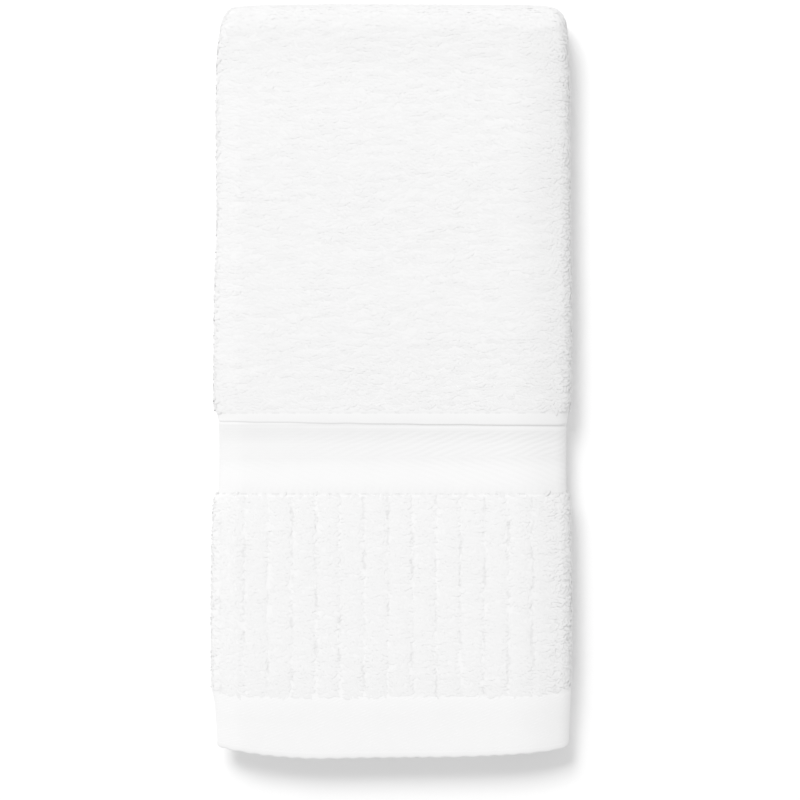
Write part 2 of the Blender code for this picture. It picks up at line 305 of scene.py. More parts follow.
# Worked out from the sizes above.
LEFT_X = -FOLDED_WIDTH / 2 + PILE_THICK / 2 + THIN_FOLD_REACH
RIGHT_X = FOLDED_WIDTH / 2 - PILE_THICK / 2 - FULL_FOLD_REACH
PANEL = RIGHT_X - LEFT_X
THIN_ARC = math.pi * LAYER_PITCH / 2
FULL_ARC = math.pi * LAYER_PITCH
FLAP = (CUT_WIDTH - PANEL - THIN_ARC - FULL_ARC - FLAPS_DIFFER) / 2
PANEL_START = FLAP + THIN_ARC
PANEL_END = PANEL_START + PANEL
TURN_RADIUS = SPAN * TURN_PITCH
QUARTER_TURN = math.pi * TURN_RADIUS / 2
FOLDED_LENGTH = CUT_LENGTH / 2 - (math.pi / 2 - 1) * TURN_RADIUS + PILE_THICK / 2
TOP_Y = FOLDED_LENGTH / 2
TURN_Y = TOP_Y - PILE_THICK / 2 - TURN_RADIUS
HEM_Y = -FOLDED_LENGTH / 2
# Brings the folded towel's middle over the origin.
CENTRING = np.array((-0.00001, 0.00003, 0.0))
MM = 1000  # millimetres in a metre


def read_off(table, at, column=1):
    """A smooth curve through a table's rows, read at many places. The first column is the place."""
    rows = np.array(table)
    places, values = rows[:, 0], rows[:, column]
    gaps = np.diff(places)
    steps = np.diff(values) / gaps
    slopes = np.zeros(len(values))
    before, after = steps[:-1], steps[1:]
    rising = before * after > 0
    slopes[1:-1][rising] = 2 * before[rising] * after[rising] / (before + after)[rising]
    at = np.clip(at, places[0], places[-1])
    i = np.clip(np.searchsorted(places, at), 1, len(places) - 1)
    gap = gaps[i - 1]
    share = (at - places[i - 1]) / gap
    squared, cubed = share**2, share**3
    return (
        (2 * cubed - 3 * squared + 1) * values[i - 1]
        + (cubed - 2 * squared + share) * slopes[i - 1] * gap
        + (3 * squared - 2 * cubed) * values[i]
        + (cubed - squared) * slopes[i] * gap
    )


def smooth_share(distance, length):
    """The share of a length that is behind, from 0 to 1, level at both ends."""
    share = np.clip(distance / length, 0, 1)
    return share * share * (3 - 2 * share)


def across_section(across):
    """x and the layer, from 0 inside to 2 outside, of places across the cloth once it is folded in three."""
    thin_turn = math.pi * (across - FLAP) / THIN_ARC
    full_turn = math.pi * (across - PANEL_END) / FULL_ARC
    parts = [across < FLAP, across < PANEL_START, across < PANEL_END, across < PANEL_END + FULL_ARC]
    tucked = LEFT_X + FLAP - across
    thin_fold = LEFT_X - THIN_FOLD_REACH * np.sin(thin_turn)
    panel = LEFT_X + across - PANEL_START
    full_fold = RIGHT_X + FULL_FOLD_REACH * np.sin(full_turn)
    innermost = RIGHT_X - (across - PANEL_END - FULL_ARC)
    x = np.select(parts, [tucked, thin_fold, panel, full_fold], innermost)
    flat = np.ones_like(across)
    layers = [flat, 1.5 - np.cos(thin_turn) / 2, TOP_LAYER * flat, 1 + np.cos(full_turn)]
    return x, np.select(parts, layers, 0.0)


def along_section(along, layer):
    """y and the height in layers above the stack's middle, of places along the folded stack."""
    turn = np.clip(along / TURN_RADIUS, -math.pi / 2, math.pi / 2)
    on_top = along > 0
    inside = np.where(on_top, TOP_HEMS_SHORT[0], UNDER_HEMS_SHORT[0])
    outside = np.where(on_top, TOP_HEMS_SHORT[1], UNDER_HEMS_SHORT[1])
    short = inside + (outside - inside) * layer / TOP_LAYER
    share = (np.abs(along) - QUARTER_TURN) / (CUT_LENGTH / 2 - QUARTER_TURN)
    straight = TURN_Y - share * (TURN_Y - HEM_Y - short)
    turned = TURN_Y + (layer + 0.5) * TURN_PITCH * np.cos(turn)
    in_turn = np.abs(along) <= QUARTER_TURN
    height = np.where(in_turn, (layer + 0.5) * np.sin(turn), np.copysign(layer + 0.5, along))
    return np.where(in_turn, turned, straight), height


def bowed(x, y):
    """y once the hems' edge and the turned end have their bows."""
    near_hem = np.maximum(0, 1 - (y - HEM_Y) / BOW_LENGTH)
    near_turn = np.maximum(0, 1 - (TOP_Y - y) / TURN_BOW_LENGTH)
    return y + read_off(HEM_BOW, x) * near_hem**2 - read_off(TURN_BOW, x) * near_turn**2


def drawn_in(x, y):
    """x once the sides stand back as far as they do at that place along the towel."""
    from_turn = TOP_Y - y
    side = np.where(x < 0, read_off(SIDES, from_turn, 1), read_off(SIDES, from_turn, 2))
    share = np.minimum(1, x / np.where(x < 0, LEFT_X, RIGHT_X))
    return x - np.copysign(side * share * share, x)


def layer_pitch(x, y):
    """How far apart the layers lie at a place on the folded towel."""
    share = np.minimum(1, np.abs(x) / (FOLDED_WIDTH / 2))
    crown = CROWN * (1 - share**CROWN_POWER)
    near_full_fold = np.clip(1 - (FOLDED_WIDTH / 2 - x) / SINK_WIDTH, 0, 1)
    waves = np.sin(2 * math.pi * y / RIPPLE_LENGTH[0])
    waves = waves + np.sin(2 * math.pi * (x + y / 2) / RIPPLE_LENGTH[1])
    return read_off(SETTLE, TOP_Y - y) + crown - SINK * near_full_fold**2 + RIPPLE * waves


def sagged(x, y, height, pitch):
    """x and the drop of places at a height in layers, once the top layers sag by the thin side fold."""
    sag = SAG * smooth_share(TURN_Y - y, SAG_FADE) * (height > 0)
    share = np.clip((SAG_START - x) / SAG_WIDTH, 0, 1)
    tilt = np.arctan(6 * sag / SAG_WIDTH * share * (1 - share))
    above = (height - TOP_LAYER) * pitch
    drop = sag * smooth_share(SAG_START - x, SAG_WIDTH)
    return x - above * np.sin(tilt), drop + above * (1 - np.cos(tilt))


def rounded(x, y, layer, height):
    """The drop of places by the full side fold, where each half of the stack lacks its middle layer."""
    near_edge = np.maximum(0, (x - ROUND_START) / (FOLDED_WIDTH / 2 - ROUND_START))
    outer = layer / TOP_LAYER
    halves = np.where(height > 0, 1 + outer, 1 - outer)
    return ROUND_DROP * halves * near_edge**2 * smooth_share(TURN_Y - y, SAG_FADE)


def place_of(across, along):
    """Where points of the flat cloth lie in the folded towel, at mid-thickness, one row each."""
    x, layer = across_section(across)
    y, height = along_section(along, layer)
    y = bowed(x, y)
    pitch = layer_pitch(x, y)
    z = read_off(SETTLE, TOP_Y - y, 2) + (SPAN + height) * pitch - rounded(x, y, layer, height)
    x, drop = sagged(x, y, height, pitch)
    return np.stack([drawn_in(x, y), y, z - drop], axis=-1) + CENTRING


def unit(vectors):
    return vectors / np.linalg.norm(vectors, axis=-1, keepdims=True)


def lie_of(across, along):
    """Places on the cloth, with its three directions there: across it, along it, and out of its face."""
    nudge = 1e-5
    over = unit(place_of(across + nudge, along) - place_of(across - nudge, along))
    on = unit(place_of(across, along + nudge) - place_of(across, along - nudge))
    return place_of(across, along), over, on, unit(np.cross(on, over))


def smooth_noise(first, second, seed):
    """A slow random field from -1 to 1, whose hills are about one unit apart."""
    knots = np.random.default_rng(seed).uniform(-1, 1, (64, 64))
    low_a, low_b = np.floor(first).astype(int), np.floor(second).astype(int)
    share_a = smooth_share(first - low_a, 1)
    share_b = smooth_share(second - low_b, 1)
    near = knots[low_a % 64, low_b % 64] * (1 - share_a) + knots[(low_a + 1) % 64, low_b % 64] * share_a
    far = knots[low_a % 64, (low_b + 1) % 64] * (1 - share_a)
    far = far + knots[(low_a + 1) % 64, (low_b + 1) % 64] * share_a
    return near * (1 - share_b) + far * share_b


def from_groove(across):
    """How far a place is from the nearest groove's middle."""
    first = PANEL_START + GROOVE_X - LEFT_X - GROOVES_LEFT * RIB_PITCH
    step = (across - first) % RIB_PITCH
    return np.minimum(step, RIB_PITCH - step)


def from_wandering_groove(across, along):
    """How far a place is from the nearest groove's middle, as the loops lie over it from either side."""
    wide, long = GROOVE_WANDER_SIZE
    return from_groove(across + GROOVE_WANDER * smooth_noise(across / wide, along / long + 90, 8))


def ground_thickness(from_hem, packed):
    """Half the ground cloth's thickness, with the hem's rolled edge, where the pile is packed or open."""
    half = np.full_like(from_hem, GROUND[0][1])
    for (_, full_before, low_before), (start, full, low) in zip(GROUND, GROUND[1:]):
        change = (full - full_before) * packed + (low - low_before) * (1 - packed)
        half = half + change * smooth_share(from_hem - start + WEAVE_STEP / 2, WEAVE_STEP)
    rolled = read_off(HEM_EDGE, from_hem)
    return np.minimum(half, rolled) + np.maximum(0, rolled - HEM_EDGE[-1][1])


def band_relief(across, from_hem):
    """The woven relief of the herringbone band and of the sunk line between it and the flat strip."""
    x = across - PANEL_START + LEFT_X
    off_middle = np.abs(from_hem - BAND_MIDDLE)
    wide, long = CHEVRON_WANDER_SIZE
    wander = CHEVRON_WANDER * smooth_noise(across / wide, from_hem / long, 5)
    phase = (off_middle - CHEVRON_SLOPE * x) / CHEVRON_PITCH + wander
    in_band = smooth_share(from_hem - CHEVRON_START, CHEVRON_FADE)
    in_band = in_band * smooth_share(CHEVRON_END - from_hem, CHEVRON_FADE)
    uneven = np.maximum(CHEVRON_FAINTEST, CHEVRON_STRENGTH + CHEVRON_GAIN * x)
    wide, long = CHEVRON_UNEVEN_SIZE
    uneven = uneven + CHEVRON_UNEVEN * smooth_noise(across / wide, from_hem / long, 6)
    chevrons = CHEVRON_HEIGHT * np.sin(2 * math.pi * phase) * in_band * uneven
    below = smooth_share(from_hem - RIBS_END, THREADS_FADE)
    below = below * smooth_share(CHEVRON_START - from_hem, THREADS_FADE)
    threads = THREADS_HEIGHT * np.sin(2 * math.pi * across / THREADS_PITCH) * below
    line_place = BAND_END + CORD_LINE_PAST_BAND - CORD_LINE_TILT * x
    wobble = CORD_LINE_WOBBLE * smooth_noise(across / CORD_LINE_WOBBLE_SIZE, from_hem * 0, 7)
    off_line = from_hem - line_place - wobble
    off_line = off_line / np.where(off_line > 0, CORD_LINE_STEEP, CORD_LINE_GENTLE)
    return chevrons + threads - CORD_LINE_DEPTH * np.exp(-(off_line**2))


def rib_relief(across, along, from_hem):
    """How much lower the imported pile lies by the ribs' grooves."""
    in_ribs = smooth_share(from_hem - HEM_END, RIB_FADE) * smooth_share(RIBS_END - from_hem, RIB_FADE)
    in_ribs = in_ribs * smooth_share(across - PANEL_START, RIB_SIDE_FADE)
    return (read_off(RIB_TIPS, from_wandering_groove(across, along)) - RIB_TIPS[-1][1]) * in_ribs


def spread(start, end, step):
    """Places from start up to end, as near step apart as fits, without the end."""
    count = max(1, round((end - start) / step))
    return [start + (end - start) * n / count for n in range(count)]


def cloth_columns(panel_step):
    """Places across the cloth, coarse on the flaps, which don't show."""
    edge, next_to_edge = SELVEDGE_STEPS
    places = [0.0, edge]
    places += spread(next_to_edge, FLAP - FLAP_STEP, FLAP_STEP)
    places += spread(FLAP - FLAP_STEP, FLAP, FLAP_END_STEP)
    places += spread(FLAP, PANEL_START, THIN_FOLD_STEP)
    places += spread(PANEL_START, PANEL_END, panel_step)
    places += spread(PANEL_END, PANEL_END + FULL_ARC, FULL_FOLD_STEP)
    places += spread(PANEL_END + FULL_ARC, CUT_WIDTH - next_to_edge, FLAP_STEP)
    return np.array(places + [CUT_WIDTH - edge, CUT_WIDTH])


def border_rows(band_step, pile_step):
    """Distances from the hem's edge of the cloth's rows, up to where it turns."""
    places = list(HEM_EDGE_ROWS)
    places += spread(HEM_FLAT_START, HEM_END - WEAVE_STEP, HEM_STEP)
    places += spread(HEM_END - WEAVE_STEP, HEM_END + WEAVE_STEP, WEAVE_STEP / 2)
    places += spread(HEM_END + WEAVE_STEP, RIBS_END - WEAVE_STEP, pile_step)
    places += spread(RIBS_END - WEAVE_STEP, RIBS_END + WEAVE_STEP, WEAVE_STEP / 3)
    places += spread(RIBS_END + WEAVE_STEP, BAND_END - LINE_BEFORE, band_step)
    places += spread(BAND_END - LINE_BEFORE, BAND_END + LINE_AFTER, min(band_step, LINE_STEP))
    places += spread(BAND_END + LINE_AFTER, STRIP_END + WEAVE_STEP, WEAVE_STEP / 3)
    places += spread(STRIP_END + WEAVE_STEP, CUT_LENGTH / 2 - QUARTER_TURN, pile_step)
    return np.array(places)


def cloth_side(across, along, outwards, fine):
    """Points of one side of the cloth for a row of places, and the flat places they stand for."""
    from_hem = CUT_LENGTH / 2 - np.abs(along)
    x = across - PANEL_START + LEFT_X
    wander = SCALLOP_WANDER * smooth_noise(x / SCALLOP_WANDER_SIZE, x * 0, 3)
    scallop = SCALLOP * np.sin(2 * math.pi * x / SCALLOP_PITCH + wander)
    moved = along + np.sign(along) * scallop * np.clip(1 - from_hem / SCALLOP_FADE, 0, 1)
    packed = smooth_share(along + UNDER_FADE, UNDER_FADE) * (outwards > 0)
    packed = packed * (1 - SIDE_SHARE * smooth_share(across - PANEL_END + SIDE_OPENS, SIDE_FADE))
    half = ground_thickness(from_hem, packed)
    edge = np.minimum(across, CUT_WIDTH - across)
    half = half * (SELVEDGE_SHARE + (1 - SELVEDGE_SHARE) * smooth_share(edge, SELVEDGE_WIDTH))
    if fine:
        half = half + band_relief(across, from_hem) + rib_relief(across, along, from_hem) * packed
    middle, _, _, facing = lie_of(across, moved)
    return middle + facing * half[:, None] * outwards


def join_rows(lower, upper):
    """Faces between two rows of numbered points. Where one has more, they go to the other row's cells."""
    if len(lower) == len(upper):
        return [
            (lower[i][1], upper[i][1], upper[i + 1][1], lower[i + 1][1]) for i in range(len(lower) - 1)
        ]
    turned = len(lower) > len(upper)
    coarse, fine = (upper, lower) if turned else (lower, upper)
    faces = []
    for (left, left_point), (right, right_point) in zip(coarse, coarse[1:]):
        between = [point for place, point in fine if left <= place <= right]
        face = [right_point, left_point] + between
        faces.append(tuple(reversed(face)) if turned else tuple(face))
    return faces


def link(name, mesh):
    """A new object for a mesh, in the scene."""
    made = bpy.data.objects.new(name, mesh)
    bpy.context.scene.collection.objects.link(made)
    return made


def add_flat_map(mesh, flat_places):
    """The mesh's UV map: its places on the flat cut, with the cut's length as 1."""
    layer = mesh.uv_layers.new(name="flat_cut")
    corners = np.zeros(len(mesh.loops), dtype=np.int64)
    mesh.loops.foreach_get("vertex_index", corners)
    layer.data.foreach_set("uv", (flat_places[corners] / CUT_LENGTH).astype(np.float32).ravel())


def make_towel_cloth():
    """The ground cloth: one closed sheet, fine where the woven border shows on top and coarse elsewhere."""
    coarse_columns = np.round(cloth_columns(PANEL_STEP), 7)
    fine_columns = np.union1d(np.round(cloth_columns(FINE_PANEL_STEP), 7), coarse_columns)
    top = border_rows(FINE_BAND_STEP, PILE_STEP)
    under = border_rows(UNDER_BAND_STEP, UNDER_PILE_STEP)
    half = CUT_LENGTH / 2
    turn = np.linspace(-QUARTER_TURN, QUARTER_TURN, TURN_ROWS)
    along_rows = [(place - half, False) for place in under]
    along_rows += [(place, False) for place in turn]
    along_rows += [(half - place, True) for place in top[::-1]]
    points, flat_places, sides = [], [], []
    count = 0
    for outwards in (1, -1):
        side = []
        for along, fine in along_rows:
            columns = fine_columns if fine and outwards > 0 else coarse_columns
            along_column = np.full(len(columns), along)
            points.append(cloth_side(columns, along_column, outwards, fine and outwards > 0))
            flat_places.append(np.stack([columns, along_column], axis=-1))
            side.append(list(zip(columns.tolist(), range(count, count + len(columns)))))
            count += len(columns)
        sides.append(side)
    faces = []
    face_rows, back_rows = sides
    for lower, upper in zip(face_rows, face_rows[1:]):
        faces += join_rows(lower, upper)
    for lower, upper in zip(back_rows, back_rows[1:]):
        faces += [tuple(reversed(face)) for face in join_rows(lower, upper)]
    faces += [tuple(reversed(face)) for face in join_rows(face_rows[0], back_rows[0])]
    faces += join_rows(face_rows[-1], back_rows[-1])
    for end, turned in ((0, False), (-1, True)):
        for i in range(len(along_rows) - 1):
            corners = (face_rows[i], back_rows[i], back_rows[i + 1], face_rows[i + 1])
            face = tuple(row[end][1] for row in corners)
            faces.append(tuple(reversed(face)) if turned else face)
    mesh = bpy.data.meshes.new("towel_cloth")
    mesh.from_pydata(np.concatenate(points).tolist(), [], faces)
    mesh.shade_smooth()
    add_flat_map(mesh, np.concatenate(flat_places))
    return link("towel_cloth", mesh)


def make_loop():
    """One loop of pile: the upper half of a small ring of yarn that stands on edge."""
    bpy.ops.object.select_all(action="DESELECT")
    bpy.ops.mesh.primitive_torus_add(
        align="WORLD",
        location=(0, 0, 0),
        rotation=(math.pi / 2, 0, 0),
        major_segments=8,
        minor_segments=3,
        major_radius=LOOP_RADIUS,
        minor_radius=YARN_RADIUS,
    )
    loop = bpy.context.object
    bpy.ops.object.transform_apply(location=False, rotation=True, scale=False)
    loop.scale = (1.0, 1.0, LOOP_HEIGHT)
    bpy.ops.object.transform_apply(location=False, rotation=False, scale=True)
    bpy.ops.object.mode_set(mode="EDIT")
    bpy.ops.mesh.select_mode(type="VERT")
    bpy.ops.mesh.select_all(action="DESELECT")
    bpy.ops.object.mode_set(mode="OBJECT")
    for point in loop.data.vertices:
        point.select = point.co.z < -0.0001
    bpy.ops.object.mode_set(mode="EDIT")
    bpy.ops.mesh.delete(type="VERT")
    bpy.ops.mesh.select_all(action="SELECT")
    bpy.ops.mesh.fill_holes(sides=3)
    bpy.ops.mesh.normals_make_consistent(inside=False)
    bpy.ops.object.mode_set(mode="OBJECT")
    points = np.array([point.co for point in loop.data.vertices])
    facings = np.array([point.normal for point in loop.data.vertices])
    faces = [tuple(face.vertices) for face in loop.data.polygons]
    ring = loop.data
    bpy.data.objects.remove(loop)
    bpy.data.meshes.remove(ring)
    return points, facings, faces


def scattered(across_range, along_range, gaps, seed):
    """Places in uneven rows over a part of the cloth."""
    gap_across, gap_along = gaps
    chance = np.random.default_rng(seed)
    across, along = [], []
    for row in np.arange(along_range[0], along_range[1], gap_along):
        start = across_range[0] + chance.uniform(0, gap_across)
        places = np.arange(start, across_range[1], gap_across)
        across.append(places + chance.normal(0, SCATTER_ACROSS * gap_across, len(places)))
        along.append(row + chance.normal(0, SCATTER_ALONG * gap_along, len(places)))
    return np.concatenate(across), np.concatenate(along)


def scattered_over(across_range, fields):
    """Places over several fields, each given by its range along the cloth, its gaps and its seed."""
    parts = [scattered(across_range, along_range, gaps, seed) for along_range, gaps, seed in fields]
    return np.concatenate([part[0] for part in parts]), np.concatenate([part[1] for part in parts])


def clumps(across, along):
    """How much higher or lower the loops stand, from clump to clump."""
    return CLUMP_HEIGHT * smooth_noise(across / CLUMP_SIZE[0] + 3, along / CLUMP_SIZE[1] + 300, 9)


def closed_pile(across, along, seed, rarity):
    """Which of some places aren't in a gap between the clumps."""
    return smooth_noise(across / GAP_SIZE[0] + 11, along / GAP_SIZE[1] + 400, seed) < rarity


def plush_tips(across, along):
    """The height of the loops' tips over the cloth's middle where the pile is plain."""
    return PILE_TIPS + clumps(across, along)


def rib_tips(across, along):
    """The height of the loops' tips over the cloth's middle across the ribs, whose grooves come and go."""
    full = read_off(RIB_TIPS, from_wandering_groove(across, along))
    wide, long = GROOVE_DEPTH_SIZE
    uneven = smooth_noise(across / wide + 5, along / long + 200, 10)
    depth = GROOVE_DEPTH + GROOVE_DEPTH_VARIES * uneven
    return RIB_TIPS[-1][1] - (RIB_TIPS[-1][1] - full) * depth + RIB_CLUMPS * clumps(across, along)


def loop_copies(loop, facings, across, along, tips_of, seed, turn_spread, softness):
    """Points of one loop's copies at many places of the cloth, each with its own turn, lean and size, and
    the softened directions that they face."""
    chance = np.random.default_rng(seed)
    count = len(across)
    middle, over, on, out = lie_of(across, along)
    nudge = 0.0003
    slope_over = (tips_of(across + nudge, along) - tips_of(across - nudge, along)) / (2 * nudge)
    slope_on = (tips_of(across, along + nudge) - tips_of(across, along - nudge)) / (2 * nudge)
    soft = unit(out - over * slope_over[:, None] - on * slope_on[:, None])
    wide, long = SLOW_TURN_SIZE
    slow_turn = SLOW_TURN * smooth_noise(across / wide + 7, along / long + 400, seed + 1)
    turn = chance.normal(0, turn_spread, count) + slow_turn
    lean = chance.normal(0, LEAN, count)
    length = chance.uniform(*LENGTHS, count)
    width = chance.uniform(*WIDTHS, count)
    top = tips_of(across, along) + chance.normal(0, TIP_SCATTER, count)
    cos_turn, sin_turn = np.cos(turn)[:, None], np.sin(turn)[:, None]
    run = over * cos_turn + on * sin_turn
    aside = over * sin_turn - on * cos_turn
    rise = out * np.cos(lean)[:, None] + aside * np.sin(lean)[:, None]
    crest = loop[:, 2].max()
    seat = middle + out * (top - crest)[:, None]
    copies = (
        seat[:, None, :]
        + run[:, None, :] * (loop[:, 0] * length[:, None])[:, :, None]
        + aside[:, None, :] * (loop[:, 1] * width[:, None])[:, :, None]
        + rise[:, None, :] * loop[None, :, 2, None]
    )
    copies[:, :, 2] = np.maximum(copies[:, :, 2], FLOOR_GAP)
    turned = (
        run[:, None, :] * facings[None, :, 0, None]
        + aside[:, None, :] * facings[None, :, 1, None]
        + rise[:, None, :] * facings[None, :, 2, None]
    )
    return copies, unit(turned * (1 - softness) + soft[:, None, :] * softness)


def make_pile(name, loop, across, along, tips_of, seed, turn_spread=TURN_SPREAD, softness=SOFTNESS):
    """One joined mesh of loops, copied from the single loop made first."""
    points, facings, faces = loop
    copies, soft_facings = loop_copies(points, facings, across, along, tips_of, seed, turn_spread, softness)
    count, each = len(across), len(points)
    starts = np.arange(count) * each
    all_faces = []
    for face in faces:
        all_faces += (starts[:, None] + np.array(face)).tolist()
    mesh = bpy.data.meshes.new(name)
    mesh.from_pydata(copies.reshape(-1, 3).tolist(), [], all_faces)
    mesh.shade_smooth()
    mesh.normals_split_custom_set_from_vertices(soft_facings.reshape(-1, 3).tolist())
    add_flat_map(mesh, np.repeat(np.stack([across, along], axis=-1), each, axis=0))
    return link(name, mesh)


def make_all_pile():
    """The pile in its parts: the plush face, the ribs, the side folds, the turned end and the underside."""
    loop = make_loop()
    half = CUT_LENGTH / 2
    pile_end = half - STRIP_END - PILE_MARGIN
    panel = (PANEL_START, PANEL_END)
    facing_up = (PANEL_START, PANEL_END - FULL_FOLD_EDGE)
    made = []

    across, along = scattered(facing_up, (QUARTER_TURN, pile_end), PLUSH_GAPS, 11)
    kept = closed_pile(across, along, 24, GAP_RARITY)
    across, along = across[kept], along[kept]
    middle = (QUARTER_TURN + pile_end) / 2
    for name, chosen in (("plush_loops_far", along < middle), ("plush_loops_near", along >= middle)):
        made.append(make_pile(name, loop, across[chosen], along[chosen], plush_tips, 21))

    ribs = (half - RIBS_END + PILE_MARGIN, half - HEM_END - HEM_MARGIN)
    across, along = scattered(facing_up, ribs, RIB_GAPS, 12)
    open_here = smooth_noise(across / RIB_PITCH, along / GROOVE_DASH + 80, 13)
    kept = from_wandering_groove(across, along) > GROOVE_HALF + GROOVE_UNEVEN * open_here
    kept = kept & closed_pile(across, along, 25, RIB_GAP_RARITY)
    across, along = across[kept], along[kept]
    made.append(make_pile("rib_loops", loop, across, along, rib_tips, 31, RIB_TURN, RIB_SOFTNESS))

    fields = (((0, QUARTER_TURN), TURN_GAPS, 14), ((-QUARTER_TURN, 0), TURN_UNDER_GAPS, 15))
    across, along = scattered_over(panel, fields)
    made.append(make_pile("turned_end_loops", loop, across, along, plush_tips, 41))

    # Each side fold's name, where it starts and ends, how much its loops turn, and their softness.
    thin_fold = ("thin_fold_loops", FLAP, PANEL_START, 0.2, 0.94)
    full_fold = ("full_fold_loops", PANEL_END - FULL_FOLD_EDGE, PANEL_END + FULL_ARC, 0.9, 0.85)
    under_ribs = (HEM_END + OUTER_HEM_MARGIN - half, RIBS_END - half)
    fields = (
        ((-QUARTER_TURN, pile_end), FOLD_GAPS, 16),
        ((half - RIBS_END, half - HEM_END - OUTER_HEM_MARGIN), FOLD_GAPS, 17),
        ((-pile_end, -QUARTER_TURN), FOLD_UNDER_GAPS, 18),
        (under_ribs, FOLD_UNDER_GAPS, 19),
    )
    for name, start, end, turn_spread, softness in (thin_fold, full_fold):
        across, along = scattered_over((start, end), fields)
        made.append(make_pile(name, loop, across, along, plush_tips, 51, turn_spread, softness))

    across, along = scattered(panel, (-pile_end, -QUARTER_TURN), UNDERSIDE_GAPS, 22)
    made.append(make_pile("underside_loops", loop, across, along, plush_tips, 61))
    across, along = scattered(panel, under_ribs, UNDERSIDE_RIB_GAPS, 23)
    kept = from_groove(across) > UNDERSIDE_GROOVE_HALF
    made.append(make_pile("underside_rib_loops", loop, across[kept], along[kept], rib_tips, 71))
    return made


# Looks. A noise scale says how many hills fit in a metre of the body, or in a millimetre of the flat cut.
FIBRE_TONE_SCALE = 90.0
FUZZ_SCALE = 2600.0
WANDER_SCALE = 260.0
DASH_SCALE = 130.0
TWILL_PATCH_SCALE = 0.30
THREAD_DASH_SCALE = 0.26
# Between these two values of its noise, a patch or a dash goes from nothing to full.
DASH_LIMITS = (0.46, 0.62)
TWILL_PATCH_LIMITS = (0.42, 0.66)
THREAD_DASH_LIMITS = (0.44, 0.62)
# Half the width, in millimetres, over which one weave's look turns into the next one's.
EDGE_SOFT = 0.25
# Painted shade in the cotton's colour: where it starts and where it is full, in millimetres past a place,
# and how deep it is, from 0 to 1. The places are the full side fold's start, where the fold rounds away from
# the light, and the turned end's start, where the turned end faces the light.
SIDE_SHADE = (-20.0, 2.0, 0.38)
TURN_SHADE = (1.0, -5.0, 0.35)
# The same painted shade for a rib groove's middle, in metres, and how far it wanders either way.
GROOVE_SHADE = (0.0010, 0.0002, 1.0)
GROOVE_SHADE_WANDER = 0.0022
# The twill rows of the hem and of the band, in millimetres. Each row's stitches start a share later.
HEM_TWILL = {"Slope": -0.42, "Pitch": 1.45, "Stitch": 3.1}
BAND_TWILL = {"Slope": 0.0, "Pitch": 0.75, "Stitch": 1.5}
ROW_SHIFT = 0.37
STITCH_RELIEF = 0.7
FAINTEST_TWILL = 0.25
BAND_RELIEF = 0.35
FUZZ_RELIEF = 0.35
HEM_ROLL = 2.6  # millimetres of the hem's edge that show no twill
# Painted shade on the threads lies between these distances past the ribs' end and past the strip's end, in
# millimetres.
BY_RIBS = (0.6, 1.4)
BY_PILE = (-1.0, -0.5)
BUMP_STRENGTH = 0.5
GROUND_BUMP = 0.00006
LOOP_BUMP = 0.00018
# How light each cotton is at tone 0, which both share, and at tone 1.
DARKEST = 0.60
LIGHT_GROUND = 0.92
LIGHT_LOOPS = 0.79
FLOOR_LEVELS = (0.96, 0.98)


def set_input(tree, socket, value):
    """Gives a socket a fixed value, or links another node's output to it."""
    if isinstance(value, bpy.types.NodeSocket):
        tree.links.new(value, socket)
    else:
        socket.default_value = value


def add_node(tree, kind, inputs=None, **settings):
    """A node with its settings. Each input is a fixed value or another node's output."""
    node = tree.nodes.new(kind)
    for name, value in settings.items():
        setattr(node, name, value)
    for name, value in (inputs or {}).items():
        set_input(tree, node.inputs[name], value)
    return node


def arithmetic(tree, operation, *inputs):
    """A Math node's output. Each input is a number or another node's output."""
    return add_node(tree, "ShaderNodeMath", dict(enumerate(inputs)), operation=operation).outputs[0]


def add_up(tree, total, parts):
    """A total once each of some values has added its share to it."""
    for value, share in parts:
        total = arithmetic(tree, "MULTIPLY_ADD", value, share, total)
    return total


def map_range(tree, value, start, full, most=1.0, interpolation="LINEAR"):
    """A share that goes from 0 to most as a value goes from a start to where the share is full."""
    inputs = {"Value": value, "From Min": start, "From Max": full, "To Max": most}
    return add_node(tree, "ShaderNodeMapRange", inputs, interpolation_type=interpolation).outputs[0]


def noise(tree, place, scale, detail, roughness=0.5, distortion=0.0):
    """Noise from 0 to 1."""
    inputs = {"Vector": place, "Scale": scale, "Detail": detail, "Roughness": roughness}
    inputs["Distortion"] = distortion
    return add_node(tree, "ShaderNodeTexNoise", inputs).outputs["Fac"]


def wave(tree, turns):
    """A wave from 0 to 1, one to a turn."""
    sine = arithmetic(tree, "SINE", arithmetic(tree, "MULTIPLY", turns, 2 * math.pi))
    return arithmetic(tree, "MULTIPLY_ADD", sine, 0.5, 0.5)


def new_group(name, inputs, outputs):
    """An empty shader node group with named number or vector sockets."""
    group = bpy.data.node_groups.new(name, "ShaderNodeTree")
    for socket, kind, value in inputs:
        made = group.interface.new_socket(name=socket, in_out="INPUT", socket_type=kind)
        if value is not None:
            made.default_value = value
    for socket, kind in outputs:
        group.interface.new_socket(name=socket, in_out="OUTPUT", socket_type=kind)
    start = group.nodes.new("NodeGroupInput")
    end = group.nodes.new("NodeGroupOutput")
    return group, start, end


def cotton_fibres_group():
    """Loose cotton fibres: a slow change of tone and a fine fuzzy relief."""
    group, start, end = new_group(
        "cotton_fibres",
        [("Place", "NodeSocketVector", None), ("Fineness", "NodeSocketFloat", 1.0)],
        [("Tone", "NodeSocketFloat"), ("Relief", "NodeSocketFloat")],
    )
    place = start.outputs["Place"]
    fine_scale = arithmetic(group, "MULTIPLY", start.outputs["Fineness"], FUZZ_SCALE)
    group.links.new(noise(group, place, FIBRE_TONE_SCALE, 3.0, 0.55), end.inputs["Tone"])
    group.links.new(noise(group, place, fine_scale, 4.0, 0.65, 0.6), end.inputs["Relief"])
    return group


